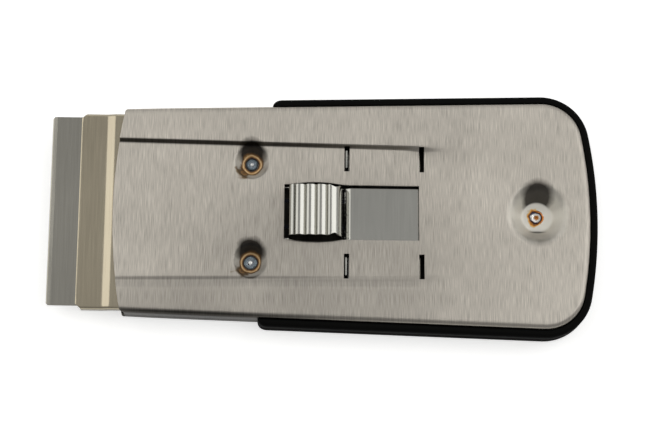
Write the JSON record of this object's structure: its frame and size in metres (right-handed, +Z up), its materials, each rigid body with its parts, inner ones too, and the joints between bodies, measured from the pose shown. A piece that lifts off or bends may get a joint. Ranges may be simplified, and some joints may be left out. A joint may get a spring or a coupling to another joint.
{
  "type": "razor blade scraper",
  "caption": "Pocket scraper with a single-edge razor blade on a sliding carrier, a pressed-steel handle and a ribbed thumb button that unlocks it.",
  "frame": {"origin": "centre of the footprint, at the height of the flat underside", "axes": "+X from the blade towards the rear of the handle, +Y to the right seen from the rear with the button up, +Z up through the thumb button"},
  "size_m": [0.108, 0.049, 0.0083],
  "materials": {
    "brushed_stainless": "stainless sheet brushed across the handle",
    "oiled_rolled_steel": "cold-rolled steel strip with a film of oil",
    "polished_spring_steel": "polished spring-steel strip",
    "ground_blade_steel": "hardened blade steel with a ground edge",
    "heat_tinted_weld": "spot weld with straw and blue heat tint",
    "black_vinyl": "semi-gloss black vinyl edging"
  },
  "bodies": {
    "handle": {"top_shell": "brushed_stainless", "bottom_shell": "brushed_stainless", "edge_grip": "black_vinyl", "front_right_weld": "heat_tinted_weld", "front_left_weld": "heat_tinted_weld", "rear_weld": "heat_tinted_weld"},
    "carrier": {"blade_carrier": "oiled_rolled_steel", "right_slide_weld": "heat_tinted_weld", "left_slide_weld": "heat_tinted_weld"},
    "thumb": {"thumb_slide": "polished_spring_steel", "lock_spring": "polished_spring_steel", "spring_weld": "heat_tinted_weld"},
    "blade": {"razor_blade": "ground_blade_steel", "blade_spine": "ground_blade_steel"}
  },
  "joints": [
    {"name": "carrier_slide", "type": "slide", "parent": "handle", "child": "carrier", "axis": [1, 0, 0], "range_m": [0, 0.01475], "deforming": ["lock_spring"]},
    {"name": "button_press", "type": "hinge", "parent": "carrier", "child": "thumb", "pos_m": [-0.0311, 0, 0.00435], "axis": [0, 1, 0], "range_deg": [0, 2], "stiffness_Nm_per_rad": 2, "springref_deg": -0.57, "deforming": ["lock_spring"]},
    {"name": "blade_change", "type": "slide", "parent": "carrier", "child": "blade", "axis": [-0.9929, 0, -0.1191], "range_m": [0, 0.02]}
  ]
}
